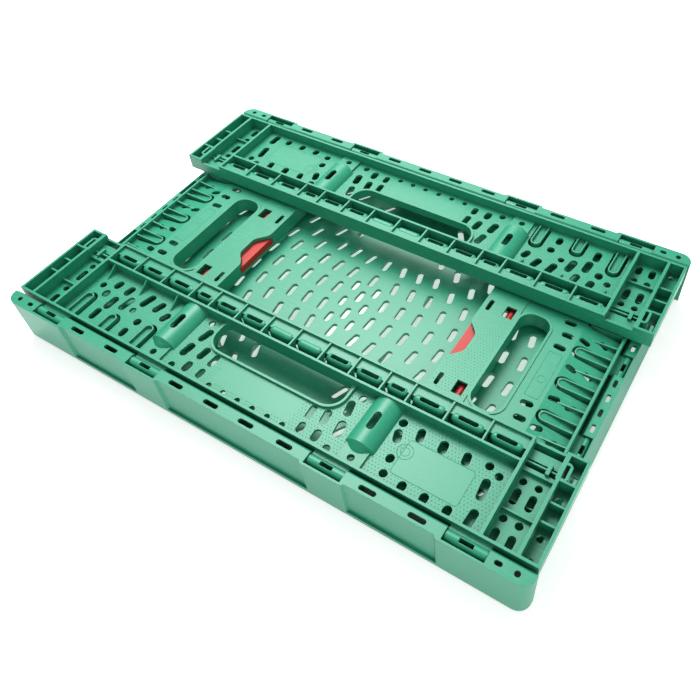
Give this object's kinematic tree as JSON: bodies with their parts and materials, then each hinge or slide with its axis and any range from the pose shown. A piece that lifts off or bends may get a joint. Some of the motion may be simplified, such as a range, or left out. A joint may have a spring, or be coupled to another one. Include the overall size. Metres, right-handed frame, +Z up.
{
  "type": "folding storage crate",
  "caption": "Folding plastic storage crate in its flat state: long walls folded over end walls on a slotted base, with red release levers and sliding lock bolts.",
  "frame": {"origin": "centre of the underside of the base, on the ground", "axes": "+X along the 600 mm long side, +Y along the 400 mm short side, +Z up"},
  "size_m": [0.6, 0.4, 0.0595],
  "materials": {
    "green_polypropylene": "satin moulded polypropylene",
    "red_polypropylene": "satin moulded polypropylene"
  },
  "bodies": {
    "base": {"base_floor": "green_polypropylene", "base_side_front": "green_polypropylene", "base_side_back": "green_polypropylene", "base_end_left": "green_polypropylene", "base_end_right": "green_polypropylene"},
    "long_front": {"long_wall_front": "green_polypropylene"},
    "long_back": {"long_wall_back": "green_polypropylene"},
    "end_left": {"end_wall_left": "green_polypropylene"},
    "end_right": {"end_wall_right": "green_polypropylene"},
    "lever_left": {"release_lever_left": "red_polypropylene"},
    "lever_right": {"release_lever_right": "red_polypropylene"},
    "bolt_right_back": {"lock_bolt_right_back": "red_polypropylene"},
    "bolt_right_front": {"lock_bolt_right_front": "red_polypropylene"},
    "bolt_left_front": {"lock_bolt_left_front": "red_polypropylene"},
    "bolt_left_back": {"lock_bolt_left_back": "red_polypropylene"}
  },
  "joints": [
    {"name": "long_front_fold", "type": "hinge", "parent": "base", "child": "long_front", "pos_m": [0, -0.19, 0.051], "axis": [1, 0, 0], "range_deg": [0, 90]},
    {"name": "long_back_fold", "type": "hinge", "parent": "base", "child": "long_back", "pos_m": [0, 0.19, 0.051], "axis": [-1, 0, 0], "range_deg": [0, 90]},
    {"name": "end_left_lift", "type": "hinge", "parent": "base", "child": "end_left", "pos_m": [-0.2835, 0, 0.024], "axis": [0, -1, 0], "range_deg": [0, 0.6]},
    {"name": "end_right_lift", "type": "hinge", "parent": "base", "child": "end_right", "pos_m": [0.2835, 0, 0.024], "axis": [0, 1, 0], "range_deg": [0, 0.6]},
    {"name": "release_left", "type": "slide", "parent": "end_left", "child": "lever_left", "axis": [-1, 0, 0], "range_m": [0, 0.005], "stiffness_N_per_m": 1500, "springref_m": -0.002},
    {"name": "bolt_left_back_slide", "type": "slide", "parent": "end_left", "child": "bolt_left_back", "axis": [0, -1, 0], "range_m": [0, 0.005]},
    {"name": "bolt_left_front_slide", "type": "slide", "parent": "end_left", "child": "bolt_left_front", "axis": [0, 1, 0], "range_m": [0, 0.005]},
    {"name": "release_right", "type": "slide", "parent": "end_right", "child": "lever_right", "axis": [1, 0, 0], "range_m": [0, 0.005], "stiffness_N_per_m": 1500, "springref_m": -0.002},
    {"name": "bolt_right_back_slide", "type": "slide", "parent": "end_right", "child": "bolt_right_back", "axis": [0, -1, 0], "range_m": [0, 0.005]},
    {"name": "bolt_right_front_slide", "type": "slide", "parent": "end_right", "child": "bolt_right_front", "axis": [0, 1, 0], "range_m": [0, 0.005]}
  ],
  "couplings": [
    {"joint": "bolt_left_back_slide", "follows": "release_left", "ratio": 1},
    {"joint": "bolt_left_front_slide", "follows": "release_left", "ratio": 1},
    {"joint": "bolt_right_back_slide", "follows": "release_right", "ratio": 1},
    {"joint": "bolt_right_front_slide", "follows": "release_right", "ratio": 1}
  ]
}
